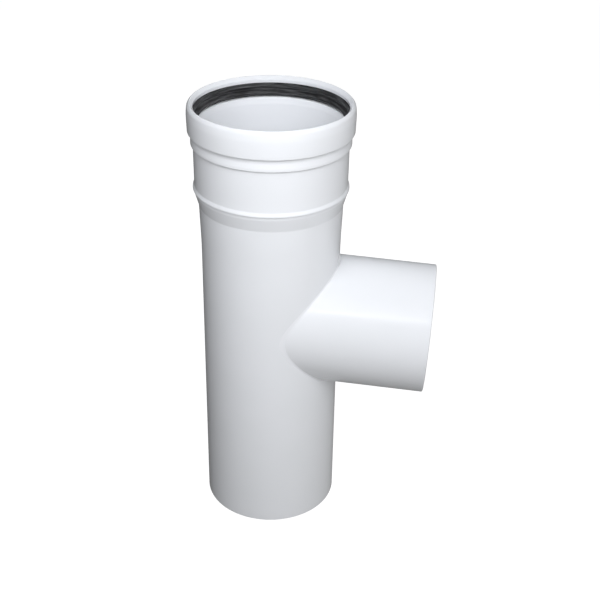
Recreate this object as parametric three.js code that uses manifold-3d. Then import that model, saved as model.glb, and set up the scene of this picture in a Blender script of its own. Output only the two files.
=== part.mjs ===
// PVC-U pipe tee: a straight run with a ring-seal socket formed on its top end and a plain spigot at its
// bottom end, a plain branch spigot welded to its side, the weld bead round their saddle joint, and the
// rubber ring seal in the socket's groove. Millimetres, +Z up along the run, branch towards +X with a
// slight fall away from the run.
// The origin is at the base, under the middle of the tee's bounding box.
import * as THREE from "three";
import { mergeVertices } from "three/addons/utils/BufferGeometryUtils.js";
import Module from "manifold-3d";

const wasm = await Module();
wasm.setup();

// Run pipe
const TEE_HEIGHT = 356; // base to socket rim
const RUN_RADIUS = 55; // outside, a 110 mm pipe
const RUN_WALL = 3.2;
const END_CHAMFER = 1; // on the outer edge of both spigot ends

// Branch spigot
const BRANCH_REDUCTION = 3; // how much smaller the branch's radius is than the run's
const BRANCH_WALL = 3;
const BRANCH_REACH = 130; // run axis to branch end face, along the branch's axis
const BRANCH_HEIGHT = 177; // base to the point where the two axes cross
const BRANCH_FALL = (2.5 * Math.PI) / 180; // the branch's end stands lower than its root: an 87.5 degree tee

// Socket, radii
const SOCKET_CLEARANCE = 1.2; // between the socket's bore and the pipe pushed into it
const SOCKET_WALL = 3.3;
const GROOVE_CLEARANCE = 5.5; // between the bottom of the seal groove and the pipe
const THROAT_CLEARANCE = 3.5; // between the rim's throat and the pipe
const LEAD_IN_WIDTH = 2.3; // sloped inner edge of the rim, between the throat and the flat land
const RIM_LAND = 0.6; // flat ring on top of the rim
const COLLAR_TAPER = 0.4; // how much narrower the collar's side is at its foot than at its shoulder
const BEAD_RISE = 1.7; // height of the upper bead over the socket wall
const STOP_BEAD_RISE = 0.9; // height of the lower bead over the socket wall
const CONE_REST = 1.2; // what is left of the cone's step where the long flare takes over

// Socket, lengths down from the rim
const SHOULDER_HEIGHT = 7; // rim to the foot of its rounded shoulder
const SHOULDER_CROWN = 1.5; // how far below the rim the shoulder's two tangents meet
const LEAD_IN_DEPTH = 3.4; // rim to the foot of its sloped inner edge
const THROAT_DEPTH = 5.4; // rim to the roof of the seal groove
const COLLAR_LENGTH = 21; // rim to the collar's lower edge
const COLLAR_TUCK = 1; // the collar's turned-in underside
const BEAD_LENGTH = 7.5; // upper bead, from the collar's underside down
const BEAD_FADE = 2.5; // upper bead's run-out onto the socket wall
const SOCKET_DEPTH = 67.5; // rim to the lower bead's crest, where the pipe stop is
const CONE_LENGTH = 13; // lower bead to the flare
const FLARE_LENGTH = 32; // flare down to the plain pipe
const STOP_CREST = 3; // length of the lower bead's crest
const STOP_FADE = 5; // lower bead's run-up from the socket wall

// Ring seal
const SEAL_CLEARANCE = 0.3; // to the groove's roof, floor and foot
const SEAL_INTERFERENCE = 0.4; // how far the free lip reaches inside the pipe's radius
const SEAL_HEIGHT = 10.4;
const SEAL_HEEL = 2.2; // thickness of the heel against the groove
const SEAL_RIB = 0.9; // how much further than the one above each rib stands out of the seal's inner side
const RIB_SHARES = { top: 0.3, foot: 0.6, hollow: 0.9 }; // down one rib's pitch
const HOLLOW_REACH = 0.4; // share of its rib that still stands out at the hollow below it
const SEAL_LIP_HEIGHT = 2.6; // lip tip, above the seal's foot
const SEAL_LIP_TIP = 0.7; // radius of the lip's rounded tip

// Weld bead in the corner between the run and the branch
const WELD_LEG = 1.6;
const PART_GAP = 0.3; // between pieces that touch

const RUN_SEGMENTS = 72;
const BRANCH_SEGMENTS = 72;
const ARC_STEPS = 4;
const FADE_TURN = 1 / 3; // where along a curved fade its two tangents meet
const CUT_MARGIN = 10; // how far cutting solids run past what they cut

// What follows from them
const branchRadius = RUN_RADIUS - BRANCH_REDUCTION;
const boreRadius = RUN_RADIUS - RUN_WALL;
const branchBoreRadius = branchRadius - BRANCH_WALL;
const socketBoreRadius = RUN_RADIUS + SOCKET_CLEARANCE;
const socketRadius = socketBoreRadius + SOCKET_WALL;
const grooveRadius = RUN_RADIUS + GROOVE_CLEARANCE;
const collarRadius = grooveRadius + SOCKET_WALL;
const throatRadius = RUN_RADIUS + THROAT_CLEARANCE;
const landRadius = throatRadius + LEAD_IN_WIDTH;

const collarFoot = TEE_HEIGHT - COLLAR_LENGTH;
const beadTop = collarFoot - COLLAR_TUCK;
const beadFoot = beadTop - BEAD_LENGTH;
const stopCrest = TEE_HEIGHT - SOCKET_DEPTH;
const coneFoot = stopCrest - CONE_LENGTH;
const grooveRoof = TEE_HEIGHT - THROAT_DEPTH;
const grooveFoot = grooveRoof - SEAL_HEIGHT - 2 * SEAL_CLEARANCE;

const whitePlastic = new THREE.MeshStandardMaterial({ color: 0xf0f3f6, roughness: 0.28, metalness: 0 });
const weldPlastic = new THREE.MeshStandardMaterial({ color: 0xeef1f4, roughness: 0.35, metalness: 0 });
const blackRubber = new THREE.MeshStandardMaterial({ color: 0x1b1c1e, roughness: 0.55, metalness: 0 });

// Outside of the run from its foot up to the rim's flat land, standing off the surface by `offset`.
function outerOutline(path, offset) {
  const collarFootRadius = collarRadius - COLLAR_TAPER + offset;
  path.lineTo(RUN_RADIUS + offset, coneFoot - FLARE_LENGTH);
  path.quadraticCurveTo(
    RUN_RADIUS + offset,
    coneFoot - FLARE_LENGTH * FADE_TURN,
    RUN_RADIUS + CONE_REST + offset,
    coneFoot,
  );
  path.lineTo(socketRadius + STOP_BEAD_RISE / 2 + offset, stopCrest - STOP_CREST / 2);
  path.quadraticCurveTo(
    socketRadius + STOP_BEAD_RISE + offset,
    stopCrest,
    socketRadius + STOP_BEAD_RISE + offset,
    stopCrest + STOP_CREST / 2,
  );
  path.lineTo(socketRadius + offset, stopCrest + STOP_CREST / 2 + STOP_FADE);
  path.lineTo(socketRadius + offset, beadFoot - BEAD_FADE);
  path.quadraticCurveTo(
    socketRadius + BEAD_RISE + offset,
    beadFoot - BEAD_FADE * FADE_TURN,
    socketRadius + BEAD_RISE + offset,
    beadFoot,
  );
  path.lineTo(socketRadius + BEAD_RISE + offset, beadTop);
  path.quadraticCurveTo(collarFootRadius, beadTop + COLLAR_TUCK / 2, collarFootRadius, collarFoot);
  path.lineTo(collarRadius + offset, TEE_HEIGHT - SHOULDER_HEIGHT);
  path.quadraticCurveTo(
    collarRadius + offset,
    TEE_HEIGHT - SHOULDER_CROWN + offset,
    landRadius + RIM_LAND + offset,
    TEE_HEIGHT + offset,
  );
}

// Inside of the socket from the rim down to the foot of the run.
function innerOutline(path) {
  path.lineTo(landRadius, TEE_HEIGHT);
  path.quadraticCurveTo(
    throatRadius,
    TEE_HEIGHT - LEAD_IN_DEPTH * FADE_TURN,
    throatRadius,
    TEE_HEIGHT - LEAD_IN_DEPTH,
  );
  path.lineTo(throatRadius, grooveRoof);
  path.lineTo(grooveRadius, grooveRoof);
  path.lineTo(grooveRadius, grooveFoot);
  path.quadraticCurveTo(socketBoreRadius, grooveFoot, socketBoreRadius, beadTop);
  path.lineTo(socketBoreRadius, stopCrest);
  path.lineTo(boreRadius + CONE_REST, coneFoot);
  path.lineTo(boreRadius, coneFoot - FLARE_LENGTH / 2);
  path.lineTo(boreRadius, 0);
}

// Turns a closed outline of radius and height about the Z axis.
function latheBody(path, segments) {
  const geometry = new THREE.LatheGeometry(path.getPoints(ARC_STEPS), segments);
  return geometry.rotateX(Math.PI / 2);
}

// A closed geometry as a manifold-3d solid.
function solidOf(geometry) {
  const bare = geometry.clone();
  bare.deleteAttribute("normal");
  bare.deleteAttribute("uv");
  const merged = mergeVertices(bare, 1e-4);
  return new wasm.Manifold(
    new wasm.Mesh({
      numProp: 3,
      vertProperties: merged.getAttribute("position").array,
      triVerts: new Uint32Array(merged.index.array),
    }),
  );
}

// A manifold-3d solid back as a geometry.
function geometryOf(solid) {
  const { vertProperties, triVerts } = solid.getMesh();
  const geometry = new THREE.BufferGeometry();
  geometry.setAttribute("position", new THREE.BufferAttribute(new Float32Array(vertProperties), 3));
  geometry.setIndex(new THREE.BufferAttribute(new Uint32Array(triVerts), 1));
  geometry.computeVertexNormals();
  return geometry;
}

function makeMesh(name, geometry, material) {
  const mesh = new THREE.Mesh(geometry, material);
  mesh.name = name;
  return mesh;
}

// Lays a geometry that runs up the Z axis from the origin along the branch's axis, as a solid.
function branchSolid(geometry) {
  geometry.rotateY(Math.PI / 2 + BRANCH_FALL);
  geometry.translate(0, 0, BRANCH_HEIGHT);
  return solidOf(geometry);
}

// A solid round bar along the branch, from the run's axis outwards.
function branchBar(radius, reach) {
  const bar = new THREE.CylinderGeometry(radius, radius, reach, BRANCH_SEGMENTS);
  bar.rotateX(Math.PI / 2);
  bar.translate(0, 0, reach / 2);
  return branchSolid(bar);
}

// The run's outer shape as a solid without its bore, standing off the surface by `offset`.
function runEnvelope(offset) {
  const path = new THREE.Path().moveTo(0, 0);
  path.lineTo(RUN_RADIUS + offset, 0);
  outerOutline(path, offset);
  path.lineTo(0, TEE_HEIGHT + offset);
  return solidOf(latheBody(path, RUN_SEGMENTS));
}

function runPipe() {
  const path = new THREE.Path().moveTo(boreRadius, 0);
  path.lineTo(RUN_RADIUS - END_CHAMFER, 0);
  path.lineTo(RUN_RADIUS, END_CHAMFER);
  outerOutline(path, 0);
  innerOutline(path);
  const pipe = solidOf(latheBody(path, RUN_SEGMENTS));
  return geometryOf(pipe.subtract(branchBar(branchBoreRadius, collarRadius + CUT_MARGIN)));
}

function branchSpigot() {
  const path = new THREE.Path().moveTo(branchBoreRadius, 0);
  path.lineTo(branchRadius, 0);
  path.lineTo(branchRadius, BRANCH_REACH - END_CHAMFER);
  path.lineTo(branchRadius - END_CHAMFER, BRANCH_REACH);
  path.lineTo(branchBoreRadius, BRANCH_REACH);
  path.lineTo(branchBoreRadius, 0);
  const tube = branchSolid(latheBody(path, BRANCH_SEGMENTS));
  return geometryOf(tube.subtract(runEnvelope(PART_GAP)));
}

function weldBead() {
  const corner = branchBar(branchRadius + WELD_LEG, BRANCH_REACH).intersect(runEnvelope(WELD_LEG));
  const bead = corner.subtract(runEnvelope(PART_GAP));
  return geometryOf(bead.subtract(branchBar(branchRadius + PART_GAP, BRANCH_REACH + CUT_MARGIN)));
}

// The seal's section: a heel that fills the groove, two ribs on its inner side and a lip that leans in.
function ringSeal() {
  const heelRadius = grooveRadius - SEAL_CLEARANCE;
  const backRadius = heelRadius - SEAL_HEEL;
  const lipRadius = RUN_RADIUS - SEAL_INTERFERENCE;
  const top = grooveRoof - SEAL_CLEARANCE;
  const foot = top - SEAL_HEIGHT;
  const tipHeight = foot + SEAL_LIP_HEIGHT;
  const ribPitch = (SEAL_HEIGHT - SEAL_LIP_HEIGHT - 2 * SEAL_LIP_TIP) / 2;
  const path = new THREE.Path().moveTo(heelRadius, foot);
  path.lineTo(heelRadius, top);
  path.lineTo(backRadius, top);
  for (let rib = 0; rib < 2; rib += 1) {
    const ribTop = top - rib * ribPitch;
    const reach = SEAL_RIB * (rib + 1);
    path.lineTo(backRadius - reach, ribTop - ribPitch * RIB_SHARES.top);
    path.lineTo(backRadius - reach, ribTop - ribPitch * RIB_SHARES.foot);
    path.lineTo(backRadius - reach * HOLLOW_REACH, ribTop - ribPitch * RIB_SHARES.hollow);
  }
  path.lineTo(lipRadius, tipHeight + SEAL_LIP_TIP);
  path.quadraticCurveTo(lipRadius - SEAL_LIP_TIP / 2, tipHeight, lipRadius + SEAL_LIP_TIP, tipHeight);
  path.lineTo(backRadius, foot + SEAL_LIP_HEIGHT / 2);
  path.lineTo(backRadius, foot);
  path.lineTo(heelRadius, foot);
  return latheBody(path, RUN_SEGMENTS);
}

const tee = new THREE.Group();
tee.add(makeMesh("run_pipe", runPipe(), whitePlastic));
tee.add(makeMesh("branch_spigot", branchSpigot(), whitePlastic));
tee.add(makeMesh("branch_weld", weldBead(), weldPlastic));
tee.add(makeMesh("ring_seal", ringSeal(), blackRubber));
const box = new THREE.Box3().setFromObject(tee);
tee.position.x = -(box.min.x + box.max.x) / 2;

export default tee;
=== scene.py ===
import math

import bmesh
import bpy
from bpy.props import FloatProperty, FloatVectorProperty, IntProperty, PointerProperty
from mathutils import Matrix, Vector


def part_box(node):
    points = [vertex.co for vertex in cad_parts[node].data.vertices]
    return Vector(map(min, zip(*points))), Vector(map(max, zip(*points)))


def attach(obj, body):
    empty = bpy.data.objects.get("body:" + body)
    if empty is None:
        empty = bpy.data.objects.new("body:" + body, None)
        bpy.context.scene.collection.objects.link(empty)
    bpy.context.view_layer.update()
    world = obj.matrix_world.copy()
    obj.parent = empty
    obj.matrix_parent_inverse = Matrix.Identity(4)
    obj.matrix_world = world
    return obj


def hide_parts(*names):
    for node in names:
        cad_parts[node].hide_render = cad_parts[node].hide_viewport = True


bl_info = {
    "name": "PVC Pipe Tee",
    "version": (1, 0, 0),
    "blender": (4, 5, 0),
    "location": "3D View > Sidebar > Pipe Tee",
    "description": "Builds a white PVC tee with a ring-seal socket, and a small studio to show it in",
    "category": "Add Mesh",
}

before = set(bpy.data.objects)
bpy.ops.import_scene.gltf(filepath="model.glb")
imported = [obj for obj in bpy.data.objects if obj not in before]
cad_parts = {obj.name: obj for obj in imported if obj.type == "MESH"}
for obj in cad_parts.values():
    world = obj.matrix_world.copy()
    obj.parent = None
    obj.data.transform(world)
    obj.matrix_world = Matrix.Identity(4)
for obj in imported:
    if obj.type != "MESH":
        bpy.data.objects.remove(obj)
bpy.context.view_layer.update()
RUN_LOW, RUN_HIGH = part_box("run_pipe")
BRANCH_LOW, BRANCH_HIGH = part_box("branch_spigot")
SEAL_LOW, SEAL_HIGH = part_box("ring_seal")

MM = 0.001
COLLAR_RADIUS = (RUN_HIGH.y - RUN_LOW.y) / 2
BRANCH_RADIUS = (BRANCH_HIGH.y - BRANCH_LOW.y) / 2
RUN_AXIS = Vector((RUN_LOW.x + COLLAR_RADIUS, 0, 0))

ROW_HEIGHT = 6 * MM
CORNER_STEPS = 5
CREASE_ANGLE = math.radians(32)
RIGID_PVC_IOR = 1.53
RUBBER_IOR = 1.5
LAMP_COLOUR = "F9FBFF"
PAPER_WHITE = "FFFFFF"


# ---------------------------------------------------------------- colours and settings


def colour(code):
    """Turns an sRGB hex code into the linear colour that a shader wants."""
    linear = []
    for start in (0, 2, 4):
        level = int(code[start:start + 2], 16) / 255
        linear.append(level / 12.92 if level <= 0.04045 else ((level + 0.055) / 1.055) ** 2.4)
    return (*linear, 1.0)


def length(name, millimetres, description):
    """A length property whose default is given in millimetres."""
    return FloatProperty(
        name=name, description=description, default=millimetres * MM, min=0, unit="LENGTH", precision=5
    )


class PipeTeeSizes(bpy.types.PropertyGroup):
    """Sizes of the tee that its overall boxes don't give."""

    run_radius: length("Run radius", 55, "Outside radius of the run pipe")
    run_wall: length("Run wall", 3.2, "Wall thickness of the run pipe")
    branch_wall: length("Branch wall", 3, "Wall thickness of the branch")
    branch_reach: length("Branch reach", 130, "Run's axis to the branch's end, along the branch")
    branch_height: length("Branch height", 177, "Foot of the run to the crossing of the two axes")
    branch_fall: FloatProperty(
        name="Branch fall", description="How far the branch points below level", subtype="ANGLE",
        default=math.radians(2.5), min=0, max=math.radians(45),
    )
    end_chamfer: length("End chamfer", 0.6, "Chamfer on the outer edge of both spigot ends")
    socket_bore: length("Socket bore", 56.2, "Inside radius of the socket under its seal")
    socket_wall: length("Socket wall", 3.3, "Wall thickness of the socket and its collar")
    throat: length("Throat", 58.5, "Inside radius of the rim over the seal")
    lead_in: length("Lead-in", 2.3, "Width of the rim's sloped inner edge")
    rim_land: length("Rim land", 0.6, "Width of the flat ring on top of the rim")
    bead_rise: length("Bead rise", 1.7, "Height of the upper bead over the socket wall")
    stop_rise: length("Stop bead rise", 0.9, "Height of the lower bead over the socket wall")
    weld_leg: length("Weld leg", 1.1, "Leg of the weld fillet round the branch")
    seal_tip: length("Seal lip", 54.6, "Inside radius of the seal's free lip")
    segments: IntProperty(
        name="Segments", description="Faces round every turned piece", default=288, min=32, max=720
    )


class PipeTeeFinish(bpy.types.PropertyGroup):
    """Colours of the tee's finishes."""

    pvc: FloatVectorProperty(
        name="PVC", description="White PVC-U", size=4, subtype="COLOR", default=colour("F4F5F8")
    )
    pvc_shade: FloatVectorProperty(
        name="PVC shade", description="Slightly duller patches", size=4, subtype="COLOR",
        default=colour("F0F2F4"),
    )
    cut: FloatVectorProperty(
        name="Cut PVC", description="Sawn and chamfered ends", size=4, subtype="COLOR",
        default=colour("E4E6E6"),
    )
    rubber: FloatVectorProperty(
        name="Rubber", description="Black seal rubber", size=4, subtype="COLOR", default=colour("242425")
    )
    # Grey for the seal's streaks: partly dusty bloom, partly painted sheen that stands in for highlights on
    # the rubber.
    bloom_and_sheen: FloatVectorProperty(
        name="Bloom and sheen", description="Dusty bloom on the rubber", size=4, subtype="COLOR",
        default=colour("747576"),
    )


# ---------------------------------------------------------------- shapes


def rounded(corners):
    """Rounds a closed outline's corners, each given as (radius, height, rounding), in metres."""
    outline = []
    for index, (x, y, rounding) in enumerate(corners):
        here = Vector((x, y))
        before = Vector(corners[index - 1][:2]) - here
        after = Vector(corners[(index + 1) % len(corners)][:2]) - here
        if rounding <= 0:
            outline.append(here)
            continue
        half = before.angle(after) / 2
        reach = min(rounding / math.tan(half), before.length * 0.49, after.length * 0.49)
        start = here + before.normalized() * reach
        end = here + after.normalized() * reach
        centre = here + (before.normalized() + after.normalized()).normalized() * (reach / math.cos(half))
        for step in range(CORNER_STEPS + 1):
            arm = (start - centre).lerp(end - centre, step / CORNER_STEPS)
            outline.append(centre + arm.normalized() * (start - centre).length)
    return outline


def turned(outline, axis, segments, row=ROW_HEIGHT):
    """Spins a closed outline of (radius, height) points about an axis direction through the origin.

    Edges longer than a row are divided; a row of None leaves them whole.
    """
    bm = bmesh.new()
    across = Vector((1, 0, 0)) if axis.z else Vector((0, 0, 1))
    points = [bm.verts.new(across * point.x + axis * point.y) for point in outline]
    for index, point in enumerate(points):
        bm.edges.new((points[index - 1], point))
    for edge in [edge for edge in bm.edges if row and edge.calc_length() > row]:
        cuts = int(edge.calc_length() / row)
        bmesh.ops.subdivide_edges(bm, edges=[edge], cuts=cuts)
    bmesh.ops.spin(
        bm, geom=bm.verts[:] + bm.edges[:], cent=(0, 0, 0), axis=axis, angle=math.tau,
        steps=segments, use_merge=True,
    )
    bmesh.ops.remove_doubles(bm, verts=bm.verts, dist=1e-6)
    bmesh.ops.recalc_face_normals(bm, faces=bm.faces)
    return bm


def placed(name, data):
    """Adds an object that holds a mesh, a light or a camera to the scene."""
    thing = bpy.data.objects.new(name, data)
    bpy.context.scene.collection.objects.link(thing)
    return thing


def mesh_of(bm, name):
    """Moves a bmesh into a new mesh."""
    mesh = bpy.data.meshes.new(name)
    bm.to_mesh(mesh)
    bm.free()
    return mesh


def finished(bm, name, materials, node):
    """Makes a piece of a bmesh: smooth shaded with sharp creases, in the place of its CAD node."""
    bm.normal_update()
    for face in bm.faces:
        face.smooth = True
    for edge in bm.edges:
        if len(edge.link_faces) == 2 and edge.calc_face_angle(0) > CREASE_ANGLE:
            edge.smooth = False
    piece = placed(name, mesh_of(bm, name))
    for material in materials:
        piece.data.materials.append(material)
    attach(piece, "root")
    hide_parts(node)


def cut_away(bm, cutter):
    """Cuts one closed bmesh out of another with a Boolean modifier."""
    body = placed("cutting", mesh_of(bm, "cutting"))
    tool = placed("cutting", mesh_of(cutter, "cutting"))
    boolean = body.modifiers.new("cut", "BOOLEAN")
    boolean.object = tool
    boolean.operation = "DIFFERENCE"
    boolean.solver = "EXACT"
    shape = body.evaluated_get(bpy.context.evaluated_depsgraph_get())
    result = bmesh.new()
    result.from_mesh(shape.to_mesh())
    shape.to_mesh_clear()
    # Removing a mesh also removes the object that holds it.
    for part in (body, tool):
        bpy.data.meshes.remove(part.data)
    return result


def lay_along_branch(bm, sizes):
    """Lays a bmesh that runs along +X from the origin along the branch's axis, which falls a little."""
    place = Matrix.Translation(RUN_AXIS + Vector((0, 0, sizes.branch_height)))
    bmesh.ops.transform(bm, verts=bm.verts, matrix=place @ Matrix.Rotation(sizes.branch_fall, 4, "Y"))


def saddle(point, radius, sizes):
    """How far along the branch its line through a point meets a run of that radius."""
    level = math.sqrt(max(radius * radius - point.y * point.y, 0))
    return (level - point.z * math.sin(sizes.branch_fall)) / math.cos(sizes.branch_fall)


def run_outline(sizes):
    """The run's closed section: the plain spigot, the flare and cone, two beads, collar, rim and groove."""
    radius = sizes.run_radius
    bore = radius - sizes.run_wall
    wall = sizes.socket_bore + sizes.socket_wall
    bead = wall + sizes.bead_rise
    neck = bead - 0.5 * MM
    stop = wall + sizes.stop_rise
    groove = COLLAR_RADIUS - sizes.socket_wall
    land = sizes.throat + sizes.lead_in
    top = RUN_HIGH.z
    groove_roof = top - 5.4 * MM
    groove_floor = top - 16.4 * MM
    collar_foot = top - 21 * MM
    bead_foot = top - 31.8 * MM
    socket_stop = top - 67.5 * MM
    cone_foot = top - 80.5 * MM
    inner_flare_foot = top - 96.5 * MM
    flare_foot = top - 115 * MM
    return rounded([
        # The plain spigot, with its wall and its chamfered end.
        (bore, 0, 0.3 * MM),
        (radius - sizes.end_chamfer, 0, 0.2 * MM),
        (radius, sizes.end_chamfer, 0.6 * MM),
        # The slow flare, then the cone up to the socket.
        (radius, flare_foot, 500 * MM),
        (radius + 1.2 * MM, cone_foot, 3 * MM),
        (wall - 0.3 * MM, top - 70 * MM, 1.2 * MM),
        # The low bead that rings the socket at its inner stop.
        (wall - 0.1 * MM, top - 67.7 * MM, 0.5 * MM),
        (stop, top - 67.2 * MM, 0.4 * MM),
        (stop - 0.1 * MM, top - 66 * MM, 0.6 * MM),
        (wall - 0.3 * MM, top - 63.9 * MM, 2 * MM),
        # The socket's wall, and the bead and neck under the collar.
        (wall - 0.1 * MM, bead_foot, 0.6 * MM),
        (bead, top - 30.9 * MM, 0.35 * MM),
        (bead, top - 28.8 * MM, 1.2 * MM),
        (neck, top - 25 * MM, 4 * MM),
        (neck, top - 21.8 * MM, 0.5 * MM),
        # The collar, a little fuller at its middle, and the rim.
        (COLLAR_RADIUS - 0.4 * MM, collar_foot, 0.4 * MM),
        (COLLAR_RADIUS, top - 8 * MM, 26 * MM),
        (COLLAR_RADIUS - 0.6 * MM, top - 1.9 * MM, 6 * MM),
        (land + sizes.rim_land, top, 1.2 * MM),
        # The sloped lead-in, the throat and the seal's groove.
        (land, top, 0.5 * MM),
        (sizes.throat, top - 2.6 * MM, 1.2 * MM),
        (sizes.throat + 0.3 * MM, groove_roof, 0.3 * MM),
        (groove, groove_roof, 0.8 * MM),
        (groove, groove_floor, 0.6 * MM),
        # The socket's bore down to its stop, and back to the pipe's bore.
        (sizes.socket_bore + 0.8 * MM, top - 16.6 * MM, 1.2 * MM),
        (sizes.socket_bore, top - 22 * MM, 5 * MM),
        (sizes.socket_bore, socket_stop, 1 * MM),
        (bore + 1.2 * MM, cone_foot, 5 * MM),
        (bore, inner_flare_foot, 100 * MM),
    ])


def seal_outline(sizes):
    """The seal's closed section: a heel in the groove, a hooked rib, a hollow and a lip that leans in."""
    heel = (SEAL_HIGH.y - SEAL_LOW.y) / 2
    back = heel - 2.2 * MM
    lip = sizes.seal_tip
    top = SEAL_HIGH.z
    foot = SEAL_LOW.z
    tip = foot + 2.8 * MM
    return rounded([
        # The heel, which fills the groove.
        (heel, foot, 0.6 * MM),
        (heel, top, 0.5 * MM),
        # The hooked upper rib.
        (back + 0.4 * MM, top, 0.3 * MM),
        (back - 0.3 * MM, top - 0.5 * MM, 0.4 * MM),
        (back - 0.9 * MM, top - 2.2 * MM, 0.5 * MM),
        (back - 0.7 * MM, top - 3 * MM, 0.4 * MM),
        # The hollow under it.
        (back + 0.5 * MM, top - 3.7 * MM, 0.3 * MM),
        (back + 0.4 * MM, top - 5 * MM, 0.4 * MM),
        # The lower rib, which runs out into the lip.
        (back - 1.6 * MM, top - 5.5 * MM, 0.5 * MM),
        (back - 2.3 * MM, top - 6.6 * MM, 0.5 * MM),
        (lip + 0.2 * MM, tip + 0.5 * MM, 0.4 * MM),
        (lip + 0.1 * MM, tip - 0.2 * MM, 0.4 * MM),
        (lip + 1.2 * MM, tip - 0.5 * MM, 0.4 * MM),
        (back - 0.2 * MM, foot + 1.2 * MM, 0.5 * MM),
        (back + 0.3 * MM, foot, 0.4 * MM),
    ])


# ---------------------------------------------------------------- materials


def add_node(tree, kind, settings=None, links=None):
    """Adds a node; settings name its attributes or inputs, links name the inputs that sockets feed."""
    node = tree.nodes.new(kind)
    for key, value in (settings or {}).items():
        if isinstance(key, int) or key in node.inputs:
            node.inputs[key].default_value = value
        else:
            setattr(node, key, value)
    for key, source in (links or {}).items():
        tree.links.new(source, node.inputs[key])
    return node


def empty_material(name):
    """A material with only its output, its shader and the object's own coordinates."""
    material = bpy.data.materials.new(name)
    material.use_nodes = True
    tree = material.node_tree
    tree.nodes.clear()
    shader = add_node(tree, "ShaderNodeBsdfPrincipled")
    add_node(tree, "ShaderNodeOutputMaterial", links={"Surface": shader.outputs["BSDF"]})
    place = add_node(tree, "ShaderNodeTexCoord").outputs["Object"]
    return material, tree, shader, place


def extruded_pvc(name, length_axis, colours):
    """Extruded PVC-U pipe: a smooth gloss skin with faint draw lines along the pipe and soft haze patches.

    The pipe's length lies along axis 0, 1 or 2 of its own coordinates.
    """
    material, tree, shader, place = empty_material(name)
    shader.inputs["IOR"].default_value = RIGID_PVC_IOR
    # Draw lines left by the die. Real ones are finer: these are 2 mm apart, so that they show.
    stretch = [1 / (2 * MM)] * 3
    stretch[length_axis] = 1 / (160 * MM)
    drawn = add_node(tree, "ShaderNodeMapping", {"Scale": stretch}, {"Vector": place})
    lines = add_node(
        tree, "ShaderNodeTexNoise", {"Scale": 1.0, "Detail": 3.0, "Roughness": 0.55},
        {"Vector": drawn.outputs["Vector"]},
    )
    # The pipe's slight waviness from sizing and cooling, about 35 mm from crest to crest.
    waves = add_node(
        tree, "ShaderNodeTexNoise", {"Scale": 1 / (35 * MM), "Detail": 1.0}, {"Vector": place}
    )
    # Rub marks from stacking, 9 mm patches broken up by finer grain, seen only as a duller gloss.
    patches = add_node(
        tree, "ShaderNodeTexNoise", {"Scale": 1 / (9 * MM), "Detail": 4.0, "Roughness": 0.6},
        {"Vector": place},
    )
    rubbed = add_node(
        tree, "ShaderNodeMapRange",
        {"From Min": 0.3, "From Max": 0.75, "To Min": 0.12, "To Max": 0.24},
        {"Value": patches.outputs["Fac"]},
    )
    tree.links.new(rubbed.outputs["Result"], shader.inputs["Roughness"])
    tone = add_node(
        tree, "ShaderNodeMix", {"data_type": "RGBA", 6: colours.pvc, 7: colours.pvc_shade},
        {"Factor": waves.outputs["Fac"]},
    )
    tree.links.new(tone.outputs[2], shader.inputs["Base Color"])
    wavy = add_node(
        tree, "ShaderNodeBump", {"Strength": 0.35, "Distance": 0.5 * MM}, {"Height": waves.outputs["Fac"]}
    )
    grain = add_node(
        tree, "ShaderNodeBump", {"Strength": 0.25, "Distance": 0.02 * MM},
        {"Height": lines.outputs["Fac"], "Normal": wavy.outputs["Normal"]},
    )
    tree.links.new(grain.outputs["Normal"], shader.inputs["Normal"])
    return material


def sawn_pvc(colours):
    """Sawn and chamfered pipe ends: chalky and matt, with fine tool lines and a few burrs."""
    material, tree, shader, place = empty_material("sawn_white_pvc")
    shader.inputs["IOR"].default_value = RIGID_PVC_IOR
    shader.inputs["Roughness"].default_value = 0.62
    chatter = add_node(
        tree, "ShaderNodeTexNoise", {"Scale": 1 / (0.7 * MM), "Detail": 4.0, "Roughness": 0.65},
        {"Vector": place},
    )
    tone = add_node(
        tree, "ShaderNodeMix", {"data_type": "RGBA", 6: colours.cut, 7: colours.pvc},
        {"Factor": chatter.outputs["Fac"]},
    )
    tree.links.new(tone.outputs[2], shader.inputs["Base Color"])
    bump = add_node(
        tree, "ShaderNodeBump", {"Strength": 0.5, "Distance": 0.06 * MM}, {"Height": chatter.outputs["Fac"]}
    )
    tree.links.new(bump.outputs["Normal"], shader.inputs["Normal"])
    return material


def welded_pvc(colours):
    """Hot-air welded PVC rod: the pipe's white, a little duller, with faint ripples from the pass."""
    material, tree, shader, place = empty_material("welded_white_pvc")
    shader.inputs["IOR"].default_value = RIGID_PVC_IOR
    shader.inputs["Roughness"].default_value = 0.38
    shader.inputs["Base Color"].default_value = colours.pvc
    ripple = add_node(
        tree, "ShaderNodeTexNoise", {"Scale": 1 / (2.5 * MM), "Detail": 2.0}, {"Vector": place}
    )
    bump = add_node(
        tree, "ShaderNodeBump", {"Strength": 0.3, "Distance": 0.15 * MM}, {"Height": ripple.outputs["Fac"]}
    )
    tree.links.new(bump.outputs["Normal"], shader.inputs["Normal"])
    return material


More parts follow.
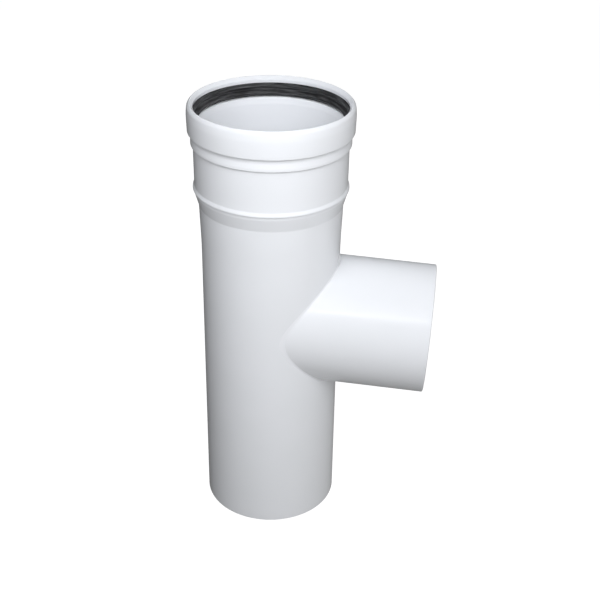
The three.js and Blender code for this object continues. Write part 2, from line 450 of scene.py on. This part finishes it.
def moulded_rubber(colours):
    """Moulded EPDM rubber: deep black with grey streaks round the ring, partly dusty bloom and partly
    painted sheen, and a satin gloss.
    """
    material, tree, shader, place = empty_material("moulded_black_rubber")
    shader.inputs["IOR"].default_value = RUBBER_IOR
    centred = add_node(
        tree, "ShaderNodeVectorMath", {"operation": "SUBTRACT", 1: RUN_AXIS}, {0: place}
    )
    parts = add_node(tree, "ShaderNodeSeparateXYZ", links={"Vector": centred.outputs["Vector"]})
    turn = add_node(
        tree, "ShaderNodeMath", {"operation": "ARCTAN2"}, {0: parts.outputs["Y"], 1: parts.outputs["X"]}
    )
    # Streaks 1 mm high and a third of a radian long, about 20 mm: partly bloom left by the mould and by
    # wiping, partly painted sheen that stands in for highlights on the seal's ribs.
    along = add_node(tree, "ShaderNodeMath", {"operation": "MULTIPLY", 1: 3.0}, {0: turn.outputs["Value"]})
    up = add_node(
        tree, "ShaderNodeMath", {"operation": "MULTIPLY", 1: 1 / (1 * MM)}, {0: parts.outputs["Z"]}
    )
    polar = add_node(
        tree, "ShaderNodeCombineXYZ", links={"X": along.outputs["Value"], "Y": up.outputs["Value"]}
    )
    streaks = add_node(
        tree, "ShaderNodeTexNoise", {"Scale": 1.0, "Detail": 5.0, "Roughness": 0.62},
        {"Vector": polar.outputs["Vector"]},
    )
    # The grey that these streaks mix in is partly dusty bloom and partly painted sheen.
    bloom_and_sheen = add_node(
        tree, "ShaderNodeMapRange", {"From Min": 0.45, "From Max": 0.75, "To Min": 0.0, "To Max": 0.8},
        {"Value": streaks.outputs["Fac"]},
    )
    tone = add_node(
        tree, "ShaderNodeMix", {"data_type": "RGBA", 6: colours.rubber, 7: colours.bloom_and_sheen},
        {"Factor": bloom_and_sheen.outputs["Result"]},
    )
    tree.links.new(tone.outputs[2], shader.inputs["Base Color"])
    gloss = add_node(
        tree, "ShaderNodeMapRange", {"From Min": 0.3, "From Max": 0.7, "To Min": 0.34, "To Max": 0.6},
        {"Value": streaks.outputs["Fac"]},
    )
    tree.links.new(gloss.outputs["Result"], shader.inputs["Roughness"])
    # Fine pores of the moulded skin, 0.9 mm apart, coarser than real ones so that they show.
    pores = add_node(
        tree, "ShaderNodeTexNoise", {"Scale": 1 / (0.9 * MM), "Detail": 3.0}, {"Vector": place}
    )
    bump = add_node(
        tree, "ShaderNodeBump", {"Strength": 0.6, "Distance": 0.12 * MM}, {"Height": pores.outputs["Fac"]}
    )
    tree.links.new(bump.outputs["Normal"], shader.inputs["Normal"])
    return material


# ---------------------------------------------------------------- operators


class PIPE_TEE_OT_run(bpy.types.Operator):
    """Build the run pipe with its ring-seal socket"""

    bl_idname = "pipe_tee.run"
    bl_label = "Run Pipe"

    def execute(self, context):
        sizes = context.scene.pipe_tee_sizes
        colours = context.scene.pipe_tee_finish
        pipe = turned(run_outline(sizes), Vector((0, 0, 1)), sizes.segments)
        bmesh.ops.translate(pipe, verts=pipe.verts, vec=RUN_AXIS)
        # The hole runs from the run's axis out through its wall on the branch's side.
        hole = bmesh.new()
        bore = BRANCH_RADIUS - sizes.branch_wall
        depth = 2 * COLLAR_RADIUS
        bmesh.ops.create_cone(
            hole, cap_ends=True, segments=sizes.segments, radius1=bore, radius2=bore,
            depth=depth, matrix=Matrix.Rotation(math.pi / 2, 4, "Y"),
        )
        bmesh.ops.translate(hole, verts=hole.verts, vec=(depth / 2, 0, 0))
        lay_along_branch(hole, sizes)
        pipe = cut_away(pipe, hole)
        for face in pipe.faces:
            face.material_index = int(face.calc_center_median().z < sizes.end_chamfer)
        materials = [extruded_pvc("extruded_white_pvc", 2, colours), sawn_pvc(colours)]
        finished(pipe, "run_with_socket", materials, "run_pipe")
        return {"FINISHED"}


class PIPE_TEE_OT_branch(bpy.types.Operator):
    """Build the branch stub, cut to the saddle of the run"""

    bl_idname = "pipe_tee.branch"
    bl_label = "Branch"

    def execute(self, context):
        sizes = context.scene.pipe_tee_sizes
        colours = context.scene.pipe_tee_finish
        reach = sizes.branch_reach
        bore = BRANCH_RADIUS - sizes.branch_wall
        # The root sinks this far into the run's surface, so that no gap shows.
        bite = 0.2 * MM
        outline = rounded([
            (bore, 0, 0),
            (BRANCH_RADIUS, 0, 0),
            (BRANCH_RADIUS, reach - sizes.end_chamfer, 0.2 * MM),
            (BRANCH_RADIUS - sizes.end_chamfer, reach, 0.1 * MM),
            (bore, reach, 0.3 * MM),
        ])
        stub = turned(outline, Vector((1, 0, 0)), sizes.segments, row=None)
        for vert in stub.verts:
            if vert.co.x < reach / 2:
                vert.co.x = saddle(vert.co, sizes.run_radius - bite, sizes)
        for face in stub.faces:
            face.material_index = int(face.calc_center_median().x > reach - sizes.end_chamfer)
        lay_along_branch(stub, sizes)
        materials = [extruded_pvc("extruded_white_pvc_branch", 0, colours), sawn_pvc(colours)]
        finished(stub, "branch_stub", materials, "branch_spigot")
        return {"FINISHED"}


class PIPE_TEE_OT_weld(bpy.types.Operator):
    """Build the weld fillet that runs round the saddle"""

    bl_idname = "pipe_tee.weld"
    bl_label = "Weld Fillet"

    def execute(self, context):
        sizes = context.scene.pipe_tee_sizes
        leg = sizes.weld_leg
        # The hollow face is a quarter circle, and the root sinks into the run and the branch.
        root = 0.4 * MM
        steps = 6
        arc = [
            Vector((BRANCH_RADIUS + leg * (1 - math.cos(turn)), leg * (1 - math.sin(turn))))
            for turn in (math.pi / 2 * step / steps for step in range(steps + 1))
        ]
        section = arc + [
            Vector((BRANCH_RADIUS + leg, -root)),
            Vector((BRANCH_RADIUS - root, -root)),
            Vector((BRANCH_RADIUS - root, leg)),
        ]
        fillet = turned(section, Vector((1, 0, 0)), sizes.segments, row=None)
        for vert in fillet.verts:
            vert.co.x += saddle(vert.co, sizes.run_radius, sizes)
        lay_along_branch(fillet, sizes)
        bmesh.ops.recalc_face_normals(fillet, faces=fillet.faces)
        materials = [welded_pvc(context.scene.pipe_tee_finish)]
        finished(fillet, "saddle_weld", materials, "branch_weld")
        return {"FINISHED"}


class PIPE_TEE_OT_seal(bpy.types.Operator):
    """Build the ribbed rubber ring in the socket's groove"""

    bl_idname = "pipe_tee.seal"
    bl_label = "Ring Seal"

    def execute(self, context):
        sizes = context.scene.pipe_tee_sizes
        ring = turned(seal_outline(sizes), Vector((0, 0, 1)), sizes.segments)
        bmesh.ops.translate(ring, verts=ring.verts, vec=RUN_AXIS)
        materials = [moulded_rubber(context.scene.pipe_tee_finish)]
        finished(ring, "ribbed_ring_seal", materials, "ring_seal")
        return {"FINISHED"}


# ---------------------------------------------------------------- studio


def direction(azimuth, elevation):
    """The way from the tee to a viewer; azimuth 0 is the front, and it grows towards the branch's side."""
    level = math.cos(elevation)
    return Vector((math.sin(azimuth) * level, -math.cos(azimuth) * level, math.sin(elevation)))


def soft_light(name, aim, azimuth, elevation, distance, size, power, mirrored):
    """A softbox that looks at a point; angles are in degrees, and mirrored ones show in gloss."""
    light = bpy.data.lights.new(name, "AREA")
    light.shape = "RECTANGLE"
    light.size = size[0]
    light.size_y = size[1]
    light.energy = power
    light.color = colour(LAMP_COLOUR)[:3]
    lamp = placed(name, light)
    away = direction(math.radians(azimuth), math.radians(elevation))
    lamp.location = aim + away * distance
    lamp.rotation_euler = away.to_track_quat("Z", "Y").to_euler()
    lamp.visible_camera = False
    lamp.visible_glossy = mirrored


def studio_world():
    """A plain white surround that sheds a weak light from the front, the branch's side and below."""
    world = bpy.data.worlds.new("white_surround")
    bpy.context.scene.world = world
    world.use_nodes = True
    tree = world.node_tree
    tree.nodes.clear()
    place = add_node(tree, "ShaderNodeTexCoord").outputs["Generated"]
    branch_side = ((1, 0, 0), 0.36)
    front = ((0, -1, 0), 0.23)
    below = ((0, 0, -1), 0.15)
    shed = None
    for side, strength in (branch_side, front, below):
        facing = add_node(
            tree, "ShaderNodeVectorMath", {"operation": "DOT_PRODUCT", 1: side}, {0: place}
        )
        fade = add_node(
            tree, "ShaderNodeMapRange", {"From Min": -0.2, "To Max": strength},
            {"Value": facing.outputs["Value"]},
        )
        total = add_node(
            tree, "ShaderNodeMath", {"operation": "ADD", 1: 0.0}, {0: fade.outputs["Result"]}
        )
        if shed:
            tree.links.new(shed, total.inputs[1])
        shed = total.outputs["Value"]
    seen = add_node(tree, "ShaderNodeLightPath").outputs["Is Camera Ray"]
    # The camera sees the surround at full white, whatever light it sheds.
    level = add_node(
        tree, "ShaderNodeMix", {"data_type": "FLOAT", 3: 1.0}, {0: seen, 2: shed}
    )
    sky = add_node(
        tree, "ShaderNodeBackground", {"Color": colour(PAPER_WHITE)}, {"Strength": level.outputs[0]}
    )
    add_node(tree, "ShaderNodeOutputWorld", links={"Surface": sky.outputs["Background"]})


def studio_floor():
    """A wide white paper floor that doesn't throw light back up at the tee."""
    bm = bmesh.new()
    bmesh.ops.create_circle(bm, cap_ends=True, segments=96, radius=30)
    floor = placed("paper_floor", mesh_of(bm, "paper_floor"))
    # Matt white paper, with a glow of its own that keeps it an even white.
    material, _, shader, _ = empty_material("white_paper")
    shader.inputs["Base Color"].default_value = colour("808080")
    shader.inputs["Roughness"].default_value = 0.9
    shader.inputs["Specular IOR Level"].default_value = 0.1
    shader.inputs["Emission Color"].default_value = colour(PAPER_WHITE)
    shader.inputs["Emission Strength"].default_value = 0.97
    floor.data.materials.append(material)
    floor.visible_diffuse = False
    floor.visible_glossy = False
    floor.visible_shadow = False


class PIPE_TEE_OT_stage(bpy.types.Operator):
    """Set up the floor, the soft lights, the surround and the camera"""

    bl_idname = "pipe_tee.stage"
    bl_label = "Studio"

    def execute(self, context):
        scene = context.scene
        scene.view_settings.view_transform = "Standard"
        middle = Vector((RUN_AXIS.x, 0, RUN_HIGH.z * 0.55))
        studio_world()
        studio_floor()
        soft_light(
            "wide_softbox", middle, azimuth=-16, elevation=44, distance=0.7,
            size=(0.5, 0.5), power=1.95, mirrored=False,
        )
        soft_light(
            "key_softbox", middle, azimuth=22, elevation=43, distance=0.8,
            size=(0.4, 0.4), power=2.45, mirrored=False,
        )
        soft_light(
            "back_softbox", middle, azimuth=190, elevation=42, distance=0.9,
            size=(0.5, 0.5), power=2.8, mirrored=False,
        )
        soft_light(
            "strip_light", middle, azimuth=20, elevation=38, distance=0.8,
            size=(0.8, 0.05), power=0.45, mirrored=True,
        )
        # The camera stands a little to the branch's side and looks down at the tee from the front.
        azimuth = math.radians(6.81)
        elevation = math.radians(29.74)
        roll = math.radians(0.97)
        distance = 0.91028
        # It aims beside the run's axis, between the run and the branch's end.
        sideways = 23.68 * MM
        height = 186.69 * MM
        aim = RUN_AXIS + Vector((sideways * math.cos(azimuth), sideways * math.sin(azimuth), height))
        away = direction(azimuth, elevation)
        lens = bpy.data.cameras.new("camera")
        lens.sensor_width = 36
        lens.lens = 66.8
        camera = placed("camera", lens)
        camera.location = aim + away * distance
        camera.rotation_mode = "QUATERNION"
        camera.rotation_quaternion = (
            away.to_track_quat("Z", "Y") @ Matrix.Rotation(roll, 3, "Z").to_quaternion()
        )
        scene.camera = camera
        return {"FINISHED"}


class PIPE_TEE_PT_panel(bpy.types.Panel):
    """Lists the tee's sizes, finishes and build steps"""

    bl_idname = "PIPE_TEE_PT_panel"
    bl_label = "PVC Pipe Tee"
    bl_space_type = "VIEW_3D"
    bl_region_type = "UI"
    bl_category = "Pipe Tee"

    def draw(self, context):
        for group in (context.scene.pipe_tee_sizes, context.scene.pipe_tee_finish):
            for name in type(group).__annotations__:
                self.layout.prop(group, name)
        for step in STEPS:
            self.layout.operator(step.bl_idname)


STEPS = (
    PIPE_TEE_OT_run,
    PIPE_TEE_OT_branch,
    PIPE_TEE_OT_weld,
    PIPE_TEE_OT_seal,
    PIPE_TEE_OT_stage,
)
CLASSES = (PipeTeeSizes, PipeTeeFinish, *STEPS, PIPE_TEE_PT_panel)


def register():
    for cls in CLASSES:
        bpy.utils.register_class(cls)
    bpy.types.Scene.pipe_tee_sizes = PointerProperty(type=PipeTeeSizes)
    bpy.types.Scene.pipe_tee_finish = PointerProperty(type=PipeTeeFinish)


def unregister():
    del bpy.types.Scene.pipe_tee_finish
    del bpy.types.Scene.pipe_tee_sizes
    for cls in reversed(CLASSES):
        bpy.utils.unregister_class(cls)


def main():
    register()
    bpy.ops.pipe_tee.run()
    bpy.ops.pipe_tee.branch()
    bpy.ops.pipe_tee.weld()
    bpy.ops.pipe_tee.seal()
    bpy.ops.pipe_tee.stage()


if __name__ == "__main__":
    main()
